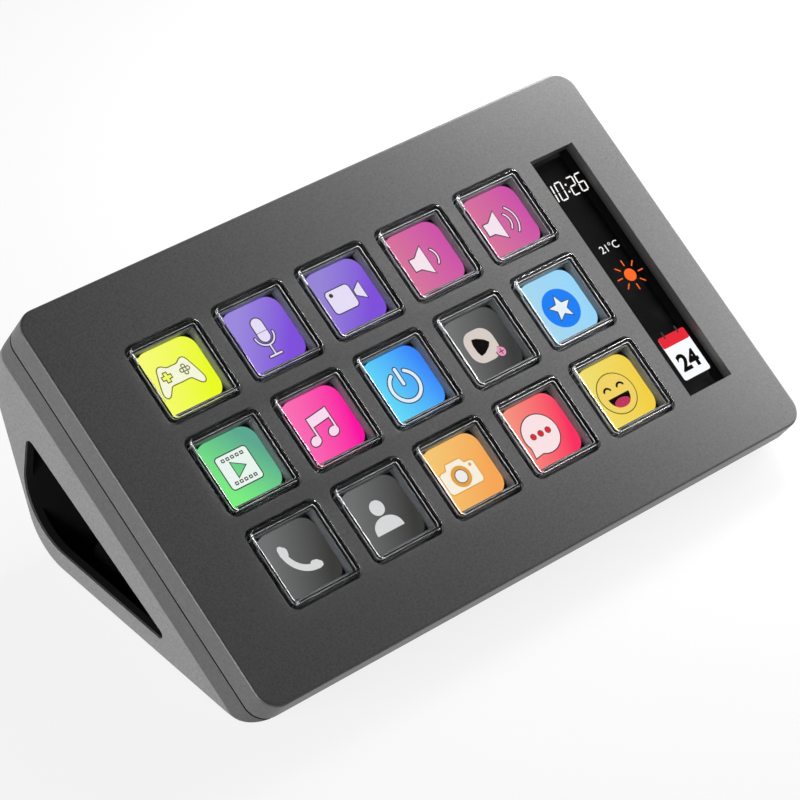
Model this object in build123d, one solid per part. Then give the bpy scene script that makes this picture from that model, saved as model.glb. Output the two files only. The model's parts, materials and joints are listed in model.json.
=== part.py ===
"""Display keypad on a wedge stand: fifteen clear push keys over one display panel.

Two frames are used. The slab frame has its origin at the middle of the face, X to the right, Y up the
slope and Z out of the face, so depths below the face are negative Z. The stand frame has the same origin,
with Z straight up. The slab frame is turned into the stand frame by the tilt. At the end everything is
moved so that the origin lies under the middle of the object, on the surface it stands on.
All lengths are in millimetres and all angles in degrees.
"""

from build123d import *
from math import acos, cos, radians, sin, sqrt, tan
import os

# ---------------------------------------------------------------- case
tilt = 30.0                 # slope of the face
left_margin = 14.8          # case side to the first key's cut-out
right_margin = 8.65         # information display to the case side
end_margin = 13.1           # outer key rows' cut-outs to the case's front and rear
corner_radius = 4.0         # plan corners of the case
inner_corner_radius = 2.0
wall = 2.0
face_plate = 1.2            # thickness of the cover's face
face_edge_round = 0.4
cover_height = 5.4          # face to parting line
parting_gap = 0.35          # shadow groove round the parting line
parting_depth = 0.8
skirt_thickness = 1.0       # cover's rim that drops inside the lower case
skirt_drop = 1.4
skirt_clearance = 0.1
band_height = 5.3           # straight part of the lower case below the parting line
case_draft = 2.5            # lean of the cheeks below the band
front_lip_height = 3.1      # front parting edge above the underside
toe_radius = 13.0
heel_setback = 6.2          # heel's corner in front of the face's rear edge
heel_radius = 10.5
leg_angle = 67.5            # slope of the rear leg
shoulder_radius = 5.0
case_edge_round = 0.8
deck_depth = 14.0           # from the face down to the deck's upper side
deck_thickness = 1.8

# ---------------------------------------------------------------- opening in each cheek
opening_sill = 4.1          # lower side above the underside
opening_front_margin = 13.8  # underside's front edge to where lower and upper side would meet
opening_slope = 26.6
opening_rear_reach = 5.1    # where lower and rear side would meet, behind the heel's corner
opening_rear_angle = 97.0
opening_tip_radius = 1.05
opening_heel_radius = 11.0
opening_top_radius = 1.5

# ---------------------------------------------------------------- keys
columns = 5
rows = 3
key_pitch = 19.2
key_size = 15.0
key_gap = 0.8               # between key and cut-out
key_rise = 1.15             # key's top above the face
key_travel = 0.6
key_corner = 1.1
key_edge_round = 0.35
key_roof = 1.2
key_wall = 0.6
key_flange = 1.4            # how far the flange stands out of the key's wall
flange_thickness = 0.5
key_guide_gap = 0.1         # flange to key frame
key_notch_length = 2.2      # notch in the key's left wall, behind its rear corner
key_notch_depth = 0.4
key_notch_cover = 0.5       # clear plastic left above the notch
pocket_corner = 0.6
spring_pressed = 0.2        # spring ring's height with the key pressed
spring_width = 1.6
spring_foot = 0.25          # height of the spring ring's wide foot
spring_inset = 0.2          # spring ring's outside inside the pocket
board_thickness = 0.3
board_window_gap = 0.2      # switch board's windows round the shroud's tubes
shroud_sheet = 0.2          # black sheet on the display that carries the tubes
shroud_wall = 0.25
shroud_key_gap = 0.2        # tube to the inside of the key's wall
shroud_roof_gap = 0.1       # left between tube and key's roof with the key pressed
shroud_corner = 0.45

# ---------------------------------------------------------------- information display
info_width = 11.0
info_end_step = 0.75        # display's ends short of the outer rows' cut-outs
info_margin = 3.65          # last key's cut-out to the information display
info_window_thickness = 0.5
info_collar = 1.0
info_ledge = 0.8            # window under the cover, all round
info_gap = 0.3
info_window_corner = 0.3

# ---------------------------------------------------------------- display module
display_room_left = 6.65    # inside of the case to the display tray
display_room_right = 1.15
display_room_ends = 0.7     # cover bosses to the display tray
display_glass = 1.2
light_guide_thickness = 2.1
tray_sheet = 0.3
display_fit = 0.15

# ---------------------------------------------------------------- inner parts
frame_margin = 2.2          # key frame's rim round the outer pockets
sheet_corner = 1.0          # plan corners of frame, boards and plates
switch_board_room = 2.65    # inside of the case to the switch board's left end
switch_board_rim = 1.0      # board beyond the key frame at front and rear
clamp_thickness = 0.7
clamp_margin = 1.5
boss_radius = 2.2
boss_side_gap = 1.2         # cover bosses to the cover's inside
clamp_boss_x = 25.0
case_boss_x = 45.0
screw_radius = 1.0
screw_clearance = 0.15
thread_clearance = 0.04
head_radius = 1.8
head_height = 1.0
head_round = 0.3
drive_radius = 0.8          # hexagon socket in the head, across its corners
drive_depth = 0.5
screw_engagement = 3.6
thread_run_out = 0.4        # hole beyond the screw's tip
case_screw_seat = 9.6       # depth of the case screws' heads below the face
case_post_radius = 3.1
well_clearance = 0.4
main_board_side_gap = 0.9   # board to the case posts
main_board_depth = 52.2
main_board_top = 10.2       # depth below the face
main_board_thickness = 1.2
main_board_margin = 0.4
board_hole_inset = 3.5
board_post_radius = 2.4
board_screw_grip = 2.2
chips = {                   # X and Y from the board's middle, width, depth, height
    "processor": (2.0, -10.0, 10.0, 10.0, 1.0),
    "memory": (20.0, -9.0, 8.0, 6.0, 0.9),
    "display_driver": (-14.0, -9.0, 7.0, 7.0, 0.9),
    "regulator": (-14.0, 12.0, 4.0, 4.0, 1.1),
    "crystal": (10.0, 2.0, 3.2, 2.5, 0.8),
}
connector_rim = 1.0         # connector beyond its flex at either end
connector_width = 4.0
connector_height = 1.2
connector_inset = 2.0       # main board's left edge to its connectors
connector_space = 3.0       # between the two connectors
connector_hole_space = 3.5  # front connector to the front board screws
flex_thickness = 0.2
flex_width = 12.0
flex_bend = 1.5
flex_gap = 0.25             # flex to the slots that it passes

# ---------------------------------------------------------------- USB-C socket
socket_width = 8.94
socket_height = 3.2
socket_depth = 7.3
socket_sheet = 0.3
socket_set_back = 0.3       # mouth inside the case's rear wall
socket_wall_gap = 0.3
tongue_width = 6.7
tongue_thickness = 0.7
tongue_length = 4.9
tongue_root = 1.2

# ---------------------------------------------------------------- underside
foot_stand = 0.8            # foot below the case
foot_recess = 0.6
foot_length = 90.0
foot_width = 7.0
foot_fit = 0.1
foot_edge_round = 0.3
front_foot_margin = 3.6     # underside's front edge to the front foot
rear_foot_margin = 4.0      # rear foot to the base plate's rear edge
plate_foot_gap = 2.0        # front foot to the base plate
plate_heel_gap = 2.0        # base plate to the start of the heel's curve
plate_side_margin = 7.5     # plate's end to the case's side
plate_thickness = 1.8
plate_ledge = 2.5
plate_pad_thickness = 3.0   # thicker floor round the base plate
plate_pad_margin = 1.5
plate_corner = 2.0
plate_fit = 0.15
hook_width = 8.0
hook_thickness = 1.0
hook_reach = 1.6
hook_root = 3.0
hook_spacing = 40.0
base_screw_spacing = 48.0
base_screw_margin = 4.9     # base screws behind the base plate's front edge
base_screw_sink = 1.0       # depth of the base screws' heads in the plate
base_screw_grip = 2.6
base_post_radius = 2.6


# ================================================================ derived places
slab = Rot(X=tilt)
parting = -cover_height
crease = parting - band_height
deck_top = -deck_depth
deck_under = deck_top - deck_thickness

cutout_size = key_size + 2 * key_gap
key_block_width = (columns - 1) * key_pitch + cutout_size
key_block_length = (rows - 1) * key_pitch + cutout_size
info_length = key_block_length - 2 * info_end_step
case_width = left_margin + key_block_width + info_margin + info_width + right_margin
face_length = key_block_length + 2 * end_margin
keys_middle = -case_width / 2 + left_margin + key_block_width / 2
info_middle = case_width / 2 - right_margin - info_width / 2

cover_inset = wall + skirt_clearance + skirt_thickness
inner_width = case_width - 2 * cover_inset
inner_length = face_length - 2 * cover_inset
cover_inner_radius = inner_corner_radius - skirt_clearance
rear_wall_inside = face_length / 2 - wall
boss_row = inner_length / 2 - boss_side_gap - boss_radius

flange_size = key_size + 2 * key_flange
pocket_size = flange_size + 2 * key_guide_gap
spring_outer = pocket_size - 2 * spring_inset
spring_inner = spring_outer - 2 * spring_width
key_inside = key_size - 2 * key_wall
shroud_size = key_inside - 2 * shroud_key_gap
window_size = shroud_size + 2 * board_window_gap

roof_underside = key_rise - key_roof
flange_foot = -face_plate - flange_thickness
frame_bottom = flange_foot - key_travel - spring_pressed
board_bottom = frame_bottom - board_thickness
display_top = board_bottom - shroud_sheet
info_recess = -display_top - info_window_thickness
guide_top = display_top - display_glass
tray_floor = guide_top - light_guide_thickness
tray_bottom = tray_floor - tray_sheet
clamp_bottom = tray_bottom - clamp_thickness
board_top = -main_board_top
main_board_bottom = board_top - main_board_thickness

pocket_block_width = (columns - 1) * key_pitch + pocket_size
pocket_block_length = (rows - 1) * key_pitch + pocket_size
frame_left = keys_middle - pocket_block_width / 2 - frame_margin
frame_right = info_middle + info_width / 2 + info_collar + info_gap + frame_margin
frame_length = pocket_block_length + 2 * frame_margin
switch_board_left = -inner_width / 2 + switch_board_room
display_left = -inner_width / 2 + display_room_left
display_right = inner_width / 2 - display_room_right
display_length = 2 * (boss_row - boss_radius - display_room_ends)

main_board_width = 2 * (case_boss_x - case_post_radius - main_board_side_gap)
main_board_rear = rear_wall_inside - main_board_margin
main_board_front = main_board_rear - main_board_depth
main_board_middle = (main_board_front + main_board_rear) / 2
connector_x = -main_board_width / 2 + connector_inset
connector_length = flex_width + 2 * connector_rim
front_screws_y = main_board_front + board_hole_inset
display_flex_y = front_screws_y + connector_hole_space + connector_length / 2
switch_flex_y = display_flex_y + connector_length + connector_space
flex_level = board_top + connector_height / 2
display_flex_level = (display_top + guide_top) / 2
switch_flex_x = switch_board_left + connector_width / 2
socket_middle = board_top + socket_height / 2
socket_mouth = face_length / 2 - socket_set_back


def stand_point(along, depth):
    """The stand frame's Y and Z of a point given up the slope and out of the face."""
    angle = radians(tilt)
    return (along * cos(angle) - depth * sin(angle), along * sin(angle) + depth * cos(angle))


front_edge = stand_point(-face_length / 2, parting)
rear_edge = stand_point(face_length / 2, parting)
case_bottom = front_edge[1] - front_lip_height
pad_top = case_bottom + plate_pad_thickness
ground = case_bottom - foot_stand
toe_y = front_edge[0] + sqrt(2 * toe_radius * front_lip_height - front_lip_height**2)
heel_y = stand_point(face_length / 2, 0)[0] - heel_setback
heel_depth = heel_y * sin(radians(tilt)) - case_bottom * cos(radians(tilt))
front_foot_y = toe_y + front_foot_margin + foot_width / 2
plate_front = front_foot_y + foot_width / 2 + plate_foot_gap
plate_rear = heel_y - heel_radius * tan(radians(leg_angle / 2)) - plate_heel_gap
plate_middle = (plate_rear + plate_front) / 2
plate_top = case_bottom + plate_thickness
plate_size = (case_width - 2 * plate_side_margin, plate_rear - plate_front)
rear_foot_y = plate_rear - rear_foot_margin - foot_width / 2
base_screw_y = plate_front + base_screw_margin
base_screw_seat = case_bottom + base_screw_sink
base_screw_places = (-base_screw_spacing, 0.0, base_screw_spacing)


def key_places():
    """Name and slab-frame X, Y of every key, row 1 at the rear and column 1 at the left."""
    for row in range(1, rows + 1):
        for column in range(1, columns + 1):
            x = keys_middle + (column - (columns + 1) / 2) * key_pitch
            y = ((rows + 1) / 2 - row) * key_pitch
            yield f"r{row}c{column}", x, y


def block(x_size, y_size, top, bottom, radius=0.0, x=0.0, y=0.0):
    """Upright prism between two levels, on a rectangle with or without rounded corners."""
    outline = RectangleRounded(x_size, y_size, radius) if radius else Rectangle(x_size, y_size)
    return Pos(x, y, bottom) * extrude(outline, top - bottom)


def ring(x_size, y_size, thickness, top, bottom, radius, x=0.0, y=0.0):
    """Upright wall of one thickness that runs round a rounded rectangle."""
    inside = max(radius - thickness, 0)
    outer = block(x_size, y_size, top, bottom, radius, x, y)
    return outer - block(x_size - 2 * thickness, y_size - 2 * thickness, top, bottom, inside, x, y)


def rod(radius, top, bottom, x=0.0, y=0.0):
    """Upright cylinder between two levels."""
    return Pos(x, y, bottom) * extrude(Circle(radius), top - bottom)


def four(x, y):
    """The four places at plus and minus x and y."""
    return [(sx * x, sy * y) for sx in (-1, 1) for sy in (-1, 1)]


def screw(length):
    """Pan-head screw, head down, with the seat of its head at the origin."""
    head = rod(head_radius, 0, -head_height)
    head = fillet(head.edges().group_by(Axis.Z)[0], head_round)
    drive = extrude(RegularPolygon(drive_radius, 6), drive_depth)
    return head + rod(screw_radius, length, 0) - Pos(Z=-head_height) * drive


def corner_at(sketch, y, z):
    """The vertex of a side-view sketch that lies nearest to a point."""
    return sketch.vertices().sort_by_distance(Vector(y, z, 0))[0]


# ================================================================ case forms
def side_profile(top):
    """Side view of the lower case: toe, flat underside, heel, rear leg, shoulder, up to a level."""
    sweep = acos(1 - front_lip_height / toe_radius) / 2
    toe_middle = (toe_y - toe_radius * sin(sweep), case_bottom + toe_radius * (1 - cos(sweep)))
    slope = tan(radians(leg_angle))
    wall_slope = tan(radians(90 - tilt))
    rise = rear_edge[1] - case_bottom + rear_edge[0] * wall_slope
    shoulder_y = (rise + heel_y * slope) / (slope + wall_slope)
    toe = (toe_y, case_bottom)
    heel = (heel_y, case_bottom)
    shoulder = (shoulder_y, case_bottom + (shoulder_y - heel_y) * slope)
    front_top = stand_point(-face_length / 2, top)
    outline = [
        ThreePointArc(front_edge, toe_middle, toe),
        Line(toe, heel),
        Line(heel, shoulder),
        Line(shoulder, stand_point(face_length / 2, top)),
        Line(stand_point(face_length / 2, top), front_top),
    ]
    if top > parting:
        outline.append(Line(front_top, front_edge))
    profile = make_face(outline)
    profile = fillet(corner_at(profile, *heel), heel_radius)
    return fillet(corner_at(profile, *shoulder), shoulder_radius)


def plan_form(inset, radius, top):
    """Plan of the lower case as a solid: a straight band, then walls that lean in by the draft."""
    outline = RectangleRounded(case_width - 2 * inset, face_length - 2 * inset, radius)
    band = Pos(Z=crease) * extrude(outline, top - crease)
    below = Plane(origin=(0, 0, crease), x_dir=(1, 0, 0), z_dir=(0, 0, -1))
    return band + extrude(below * outline, heel_depth + crease, taper=case_draft)


def case_outside():
    """Outside of the lower case, its cheeks rounded where they meet the underside and the leg."""
    form = extrude(Plane.YZ * side_profile(parting), case_width, both=True)
    form &= slab * plan_form(0, corner_radius, parting)
    rims = []
    for edge in form.edges():
        place = slab.inverse() * edge
        level = place.center().Z
        upright = abs((place % 0.5).Z) > 0.99
        on_side = abs(place.center().X) > case_width / 2 - corner_radius
        if on_side and level < parting - 0.1 and abs(level - crease) > 0.01 and not upright:
            rims.append(edge)
    return fillet(rims, case_edge_round)


def case_inside(clearance=0.0):
    """The hollow form inside the walls, up to above the parting line, or a form that fits in it."""
    inset = wall + clearance
    top = parting + cover_height
    profile = offset(side_profile(top), -inset, kind=Kind.INTERSECTION)
    form = extrude(Plane.YZ * profile, case_width, both=True)
    return form & slab * plan_form(inset, inner_corner_radius - clearance, top)


def above(depth):
    """Everything of the case above a level in the slab frame."""
    return slab * block(2 * case_width, 2 * face_length, 2 * face_length, depth)


def cheek_opening():
    """Round-cornered triangle through both cheeks."""
    sill = case_bottom + opening_sill
    front = (toe_y + opening_front_margin, sill)
    rear = (heel_y + opening_rear_reach, sill)
    lean = 1 / tan(radians(180 - opening_rear_angle))
    rise = tan(radians(opening_slope))
    height = (rear[0] - front[0]) * rise / (1 + lean * rise)
    top = (rear[0] - height * lean, sill + height)
    outline = make_face(Polyline(front, rear, top, close=True))
    outline = fillet(corner_at(outline, *front), opening_tip_radius)
    outline = fillet(corner_at(outline, *rear), opening_heel_radius)
    outline = fillet(corner_at(outline, *top), opening_top_radius)
    return extrude(Plane.YZ * outline, case_width, both=True)


# ================================================================ top cover
def cover_skirt():
    """Rim below the parting line that fits inside the lower case, also above its toe."""
    outer = (inner_width + 2 * skirt_thickness, inner_length + 2 * skirt_thickness)
    skirt = ring(*outer, skirt_thickness, parting, parting - skirt_drop, cover_inner_radius)
    return skirt & slab.inverse() * case_inside(skirt_clearance)


def top_cover():
    body = block(case_width, face_length, 0, parting, corner_radius)
    body = fillet(body.edges().group_by(Axis.Z)[-1], face_edge_round)
    body -= block(inner_width, inner_length, -face_plate, parting, cover_inner_radius)
    body += cover_skirt()
    for _, x, y in key_places():
        body -= block(cutout_size, cutout_size, 0, -face_plate, key_corner + key_gap, x, y)
    body += ring(
        info_width + 2 * info_collar, info_length + 2 * info_collar, info_collar,
        -face_plate, -info_recess, info_collar, info_middle,
    )
    body -= block(info_width, info_length, 0, -info_recess, 0, info_middle)
    hole_top = tray_bottom + screw_engagement + thread_run_out
    for x, y in four(clamp_boss_x, boss_row) + four(case_boss_x, boss_row):
        body += rod(boss_radius, -face_plate, tray_bottom, x, y)
        body -= rod(screw_radius + thread_clearance, hole_top, tray_bottom, x, y)
    return body


# ================================================================ keys
def keycap(x, y):
    """Clear key: rounded box open below, with a flange round its foot and a notch in its left wall."""
    body = block(key_size, key_size, key_rise, flange_foot, key_corner, x, y)
    body = fillet(body.edges().group_by(Axis.Z)[-1], key_edge_round)
    body += block(flange_size, flange_size, -face_plate, flange_foot, key_corner, x, y)
    body -= block(
        2 * key_notch_depth, key_notch_length, key_rise - key_notch_cover, -face_plate,
        0, x - key_size / 2, y + key_size / 2 - key_corner - key_notch_length / 2,
    )
    return body - block(
        key_inside, key_inside, roof_underside, flange_foot, key_corner - key_wall, x, y
    )


def key_spring(x, y):
    """Square silicone ring that holds the key up: a wide foot on the board and a narrower crown."""
    foot_top = frame_bottom + spring_foot
    foot = ring(spring_outer, spring_outer, spring_width, foot_top, frame_bottom, key_corner, x, y)
    crown_size = spring_inner + spring_width
    return foot + ring(
        crown_size, crown_size, spring_width / 2, flange_foot, foot_top, key_corner, x, y
    )


def sheet(left, right, length, top, bottom, radius):
    """Plate of the key stack between its left and right ends."""
    return block(right - left, length, top, bottom, radius, (left + right) / 2)


def info_hole(margin, top, bottom):
    """Cutter for the information display's place, larger than it by a margin all round."""
    return block(info_width + 2 * margin, info_length + 2 * margin, top, bottom, 0, info_middle)


def key_frame():
    """Grid that guides the keys' flanges."""
    body = sheet(frame_left, frame_right, frame_length, -face_plate, frame_bottom, sheet_corner)
    for _, x, y in key_places():
        body -= block(pocket_size, pocket_size, -face_plate, frame_bottom, pocket_corner, x, y)
    return body - info_hole(info_collar + info_gap, -face_plate, frame_bottom)


def switch_board():
    """Thin board under the spring rings, with a window for each tube of the shroud."""
    length = frame_length + 2 * switch_board_rim
    body = sheet(switch_board_left, frame_right, length, frame_bottom, board_bottom, sheet_corner)
    for _, x, y in key_places():
        body -= block(window_size, window_size, frame_bottom, board_bottom, pocket_corner, x, y)
    return body - info_hole(info_collar + info_gap, frame_bottom, board_bottom)


def light_shroud():
    """Black sheet on the display with a square tube that rises inside each key."""
    body = sheet(frame_left, frame_right, frame_length, board_bottom, display_top, sheet_corner)
    body -= info_hole(info_ledge + info_gap, board_bottom, display_top)
    tube_top = roof_underside - key_travel - shroud_roof_gap
    inside = shroud_size - 2 * shroud_wall
    for _, x, y in key_places():
        body += block(shroud_size, shroud_size, tube_top, display_top, shroud_corner, x, y)
    for _, x, y in key_places():
        body -= block(
            inside, inside, tube_top, display_top, shroud_corner - shroud_wall, x, y
        )
    return body


def info_window():
    width, length = info_width + 2 * info_ledge, info_length + 2 * info_ledge
    return block(width, length, -info_recess, display_top, info_window_corner, info_middle)


# ================================================================ display module
def display_layer(top, bottom):
    """A sheet that fills the display tray."""
    inset = tray_sheet + display_fit
    return sheet(
        display_left + inset, display_right - inset, display_length - 2 * inset, top, bottom, 0
    )


def display_tray():
    body = sheet(display_left, display_right, display_length, display_top, tray_bottom, 0)
    body -= sheet(
        display_left + tray_sheet, display_right - tray_sheet,
        display_length - 2 * tray_sheet, display_top, tray_floor, 0,
    )
    return body - block(
        4 * tray_sheet, flex_width + 2 * flex_gap,
        display_flex_level + flex_gap, display_flex_level - flex_gap,
        0, display_left, display_flex_y,
    )


def clamp_plate():
    length = display_length - 2 * clamp_margin
    body = sheet(
        display_left + clamp_margin, display_right - clamp_margin, length,
        tray_bottom, clamp_bottom, sheet_corner,
    )
    for x, y in four(clamp_boss_x, boss_row):
        body += rod(boss_radius, tray_bottom, clamp_bottom, x, y)
        body += block(2 * boss_radius, abs(y), tray_bottom, clamp_bottom, 0, x, y / 2)
        body -= rod(screw_radius + screw_clearance, tray_bottom, clamp_bottom, x, y)
    return body


# ================================================================ main board and its parts
board_holes = [
    (side * (main_board_width / 2 - board_hole_inset), y)
    for side in (-1, 1)
    for y in (front_screws_y, main_board_rear - board_hole_inset)
]


def main_board():
    body = block(
        main_board_width, main_board_depth, board_top, main_board_bottom,
        sheet_corner, 0, main_board_middle,
    )
    for x, y in board_holes:
        body -= rod(screw_radius + screw_clearance, board_top, main_board_bottom, x, y)
    return body


def board_chips():
    return [
        block(width, depth, board_top + height, board_top, 0, x, main_board_middle + y)
        for x, y, width, depth, height in chips.values()
    ]


def board_connectors():
    """Two flex connectors on the main board and one under the switch board."""
    bodies = []
    for y in (display_flex_y, switch_flex_y):
        body = block(
            connector_width, connector_length, board_top + connector_height, board_top,
            0, connector_x, y,
        )
        bodies.append(body - block(
            connector_width, flex_width + 2 * flex_gap,
            flex_level + flex_gap, flex_level - flex_gap,
            0, connector_x - connector_width / 2, y,
        ))
    under = block(
        connector_width / 2, connector_length, board_bottom, board_bottom - connector_height,
        0, switch_flex_x, switch_flex_y,
    )
    return bodies + [under]


def flex(path, y):
    """Thin flat strip along a path in the X-Z plane."""
    outline = make_face(offset(path, flex_thickness / 2, side=Side.BOTH))
    return Pos(Y=y) * extrude(Plane.XZ * outline, flex_width / 2, both=True)


def display_flex():
    """From the display's left edge, round below it, into the main board's connector."""
    start = (display_left + tray_sheet / 2, display_flex_level)
    turn = (display_left - flex_bend, display_flex_level)
    below = (turn[0], flex_level)
    path = Line(start, turn)
    path += ThreePointArc(
        turn,
        (turn[0] - (display_flex_level - flex_level) / 2, (display_flex_level + flex_level) / 2),
        below,
    )
    path += Line(below, (connector_x - flex_gap, flex_level))
    return flex(path, display_flex_y)


def switch_flex():
    """From the connector under the switch board down to the main board's connector."""
    top = (switch_flex_x, board_bottom - connector_height - flex_thickness / 2)
    bend_start = (switch_flex_x, flex_level + flex_bend)
    diagonal = flex_bend * (1 - cos(radians(45)))
    bend_middle = (switch_flex_x + diagonal, flex_level + diagonal)
    bend_end = (switch_flex_x + flex_bend, flex_level)
    path = Line(top, bend_start)
    path += ThreePointArc(bend_start, bend_middle, bend_end)
    path += Line(bend_end, (connector_x - flex_gap, flex_level))
    return flex(path, switch_flex_y)


# ================================================================ USB-C socket
def slot_prism(width, height, front, rear):
    """Prism along the slope with a fully rounded section, centred on the socket."""
    outline = RectangleRounded(width, height, height / 2 - 0.01)
    plane = Plane(origin=(0, rear, socket_middle), x_dir=(1, 0, 0), z_dir=(0, -1, 0))
    return extrude(plane * outline, rear - front)


def usb_socket():
    rear = socket_mouth - socket_depth
    shell = slot_prism(socket_width, socket_height, rear, socket_mouth)
    hollow = slot_prism(
        socket_width - 2 * socket_sheet, socket_height - 2 * socket_sheet,
        rear + socket_sheet, socket_mouth,
    )
    return shell - hollow


def usb_tongue():
    rear = socket_mouth - socket_depth + socket_sheet
    front = rear + tongue_root
    root = slot_prism(
        socket_width - 2 * socket_sheet, socket_height - 2 * socket_sheet, rear, front
    )
    tongue = Pos(0, front + tongue_length / 2, socket_middle) * Box(
        tongue_width, tongue_length, tongue_thickness
    )
    return root + tongue


# ================================================================ lower case
def case_posts():
    """Tubes that take the case screws, from the cover's bosses down to the case's skin."""
    posts = Part()
    for x, y in four(case_boss_x, boss_row):
        posts += rod(case_post_radius, tray_bottom, -heel_depth, x, y)
    return posts


def case_wells():
    """Bores of the case posts: a clearance hole, and a wide well for the screw's head."""
    bores = Part()
    for x, y in four(case_boss_x, boss_row):
        bores += rod(screw_radius + screw_clearance, tray_bottom, -case_screw_seat, x, y)
        bores += rod(head_radius + well_clearance, -case_screw_seat, -heel_depth, x, y)
    return bores


def board_posts():
    posts = Part()
    for x, y in board_holes:
        posts += rod(board_post_radius, main_board_bottom, deck_top - deck_thickness / 2, x, y)
        posts -= rod(screw_radius + thread_clearance, main_board_bottom, deck_top, x, y)
    return posts


def base_posts():
    """Short posts under the deck for the base plate's screws."""
    posts = Part()
    for x in base_screw_places:
        posts += rod(base_post_radius, 0, plate_top, x, base_screw_y)
    posts -= above(deck_under)
    for x in base_screw_places:
        hole_top = plate_top + base_screw_grip + thread_run_out
        posts -= rod(screw_radius + thread_clearance, hole_top, plate_top, x, base_screw_y)
    return posts


def parting_groove():
    """Shadow groove round the top of the lower case, its floor falling inwards at 45 degrees."""
    over = parting_gap
    top = parting + over
    bottom = parting - parting_gap - parting_depth
    body = block(
        case_width + 2 * over, face_length + 2 * over, top, bottom, corner_radius + over
    )
    body = chamfer(body.edges().group_by(Axis.Z)[0], parting_depth + over)
    inset = 2 * parting_depth
    return body - block(
        case_width - inset, face_length - inset, top, bottom, corner_radius - parting_depth
    )


def foot_recess_at(y):
    return block(
        foot_length, foot_width, case_bottom + foot_recess, case_bottom,
        foot_width / 2 - foot_fit, 0, y,
    )


def lower_case():
    inside = case_inside()
    body = case_outside() - (inside & above(deck_top)) - (inside - above(deck_under))
    body -= cheek_opening()
    width, depth = plate_size
    body += block(
        width + 2 * plate_pad_margin, depth + 2 * plate_pad_margin, pad_top, case_bottom,
        plate_corner + plate_pad_margin, 0, plate_middle,
    )
    body -= block(width, depth, plate_top, case_bottom, plate_corner, 0, plate_middle)
    body -= block(
        width - 2 * plate_ledge, depth - 2 * plate_ledge, pad_top, case_bottom,
        plate_corner, 0, plate_middle,
    )
    body += inside & (slab * case_posts())
    body += inside & (slab * board_posts())
    body += base_posts()
    body -= slab * case_wells()
    body -= slab * parting_groove()
    body -= foot_recess_at(front_foot_y)
    return body - slab * slot_prism(
        socket_width + 2 * socket_wall_gap, socket_height + 2 * socket_wall_gap,
        rear_wall_inside - wall, face_length / 2 + wall,
    )


# ================================================================ underside parts
def base_plate():
    width, depth = (size - 2 * plate_fit for size in plate_size)
    body = block(width, depth, plate_top, case_bottom, plate_corner, 0, plate_middle)
    rear = plate_rear - plate_ledge - plate_fit
    for i in (-1, 0, 1):
        body += block(
            hook_width, hook_root, pad_top, plate_top, 0, i * hook_spacing, rear - hook_root / 2
        )
        body += block(
            hook_width, hook_root + hook_reach, pad_top + hook_thickness, pad_top,
            0, i * hook_spacing, rear + (hook_reach - hook_root) / 2,
        )
    for x in base_screw_places:
        body -= rod(screw_radius + screw_clearance, plate_top, case_bottom, x, base_screw_y)
        body -= rod(head_radius + screw_clearance, base_screw_seat, case_bottom, x, base_screw_y)
    return body - foot_recess_at(rear_foot_y)


def foot(y):
    length, width = foot_length - 2 * foot_fit, foot_width - 2 * foot_fit
    body = block(
        length, width, case_bottom + foot_recess, ground, foot_width / 2 - 2 * foot_fit, 0, y
    )
    return fillet(body.edges().group_by(Axis.Z)[0], foot_edge_round)


# ================================================================ the assembly
case_screw = screw(case_screw_seat + tray_bottom + screw_engagement)
clamp_screw = screw(clamp_thickness + screw_engagement)
board_screw = Rot(X=180) * screw(main_board_thickness + board_screw_grip)
base_screw = screw(plate_top - base_screw_seat + base_screw_grip)

nodes = {
    "top_cover": slab * top_cover(),
    "lower_case": lower_case(),
    "base_plate": base_plate(),
    "foot_front": foot(front_foot_y),
    "foot_rear": foot(rear_foot_y),
    "info_window": slab * info_window(),
    "key_frame": slab * key_frame(),
    "switch_board": slab * switch_board(),
    "light_shroud": slab * light_shroud(),
    "display_glass": slab * display_layer(display_top, guide_top),
    "light_guide": slab * display_layer(guide_top, tray_floor),
    "display_tray": slab * display_tray(),
    "clamp_plate": slab * clamp_plate(),
    "main_board": slab * main_board(),
    "board_chips": slab * Compound(children=board_chips()),
    "board_connectors": slab * Compound(children=board_connectors()),
    "display_flex": slab * display_flex(),
    "switch_flex": slab * switch_flex(),
    "usb_socket": slab * usb_socket(),
    "usb_tongue": slab * usb_tongue(),
    "case_screws": slab * Compound(
        children=[Pos(x, y, -case_screw_seat) * case_screw for x, y in four(case_boss_x, boss_row)]
    ),
    "clamp_screws": slab * Compound(
        children=[Pos(x, y, clamp_bottom) * clamp_screw for x, y in four(clamp_boss_x, boss_row)]
    ),
    "board_screws": slab * Compound(
        children=[Pos(x, y, board_top) * board_screw for x, y in board_holes]
    ),
    "base_screws": Compound(
        children=[Pos(x, base_screw_y, base_screw_seat) * base_screw for x in base_screw_places]
    ),
}
for name, x, y in key_places():
    nodes["keycap_" + name] = slab * keycap(x, y)
    nodes["key_spring_" + name] = slab * key_spring(x, y)

case_box = nodes["top_cover"].bounding_box().add(nodes["lower_case"].bounding_box())
stand_on_origin = Pos(0, -case_box.center().Y, -ground)

os.makedirs("parts", exist_ok=True)
for name, solid in nodes.items():
    export_step(stand_on_origin * solid, f"parts/{name}.step")
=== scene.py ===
"""Looks of the display keypad: finishes, key pictures, side display, studio light and camera.

Flat things are drawn in millimetres in the slab frame: its origin is the middle of the face, X runs to
the right, Y up the slope and Z out of the face. Everything is turned into the model's frame in metres.
Lengths below are in millimetres where nothing else is said.
"""

import json
from math import cos, hypot, pi, radians, sin

import bmesh
import bpy
from mathutils import Matrix, Vector


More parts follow.
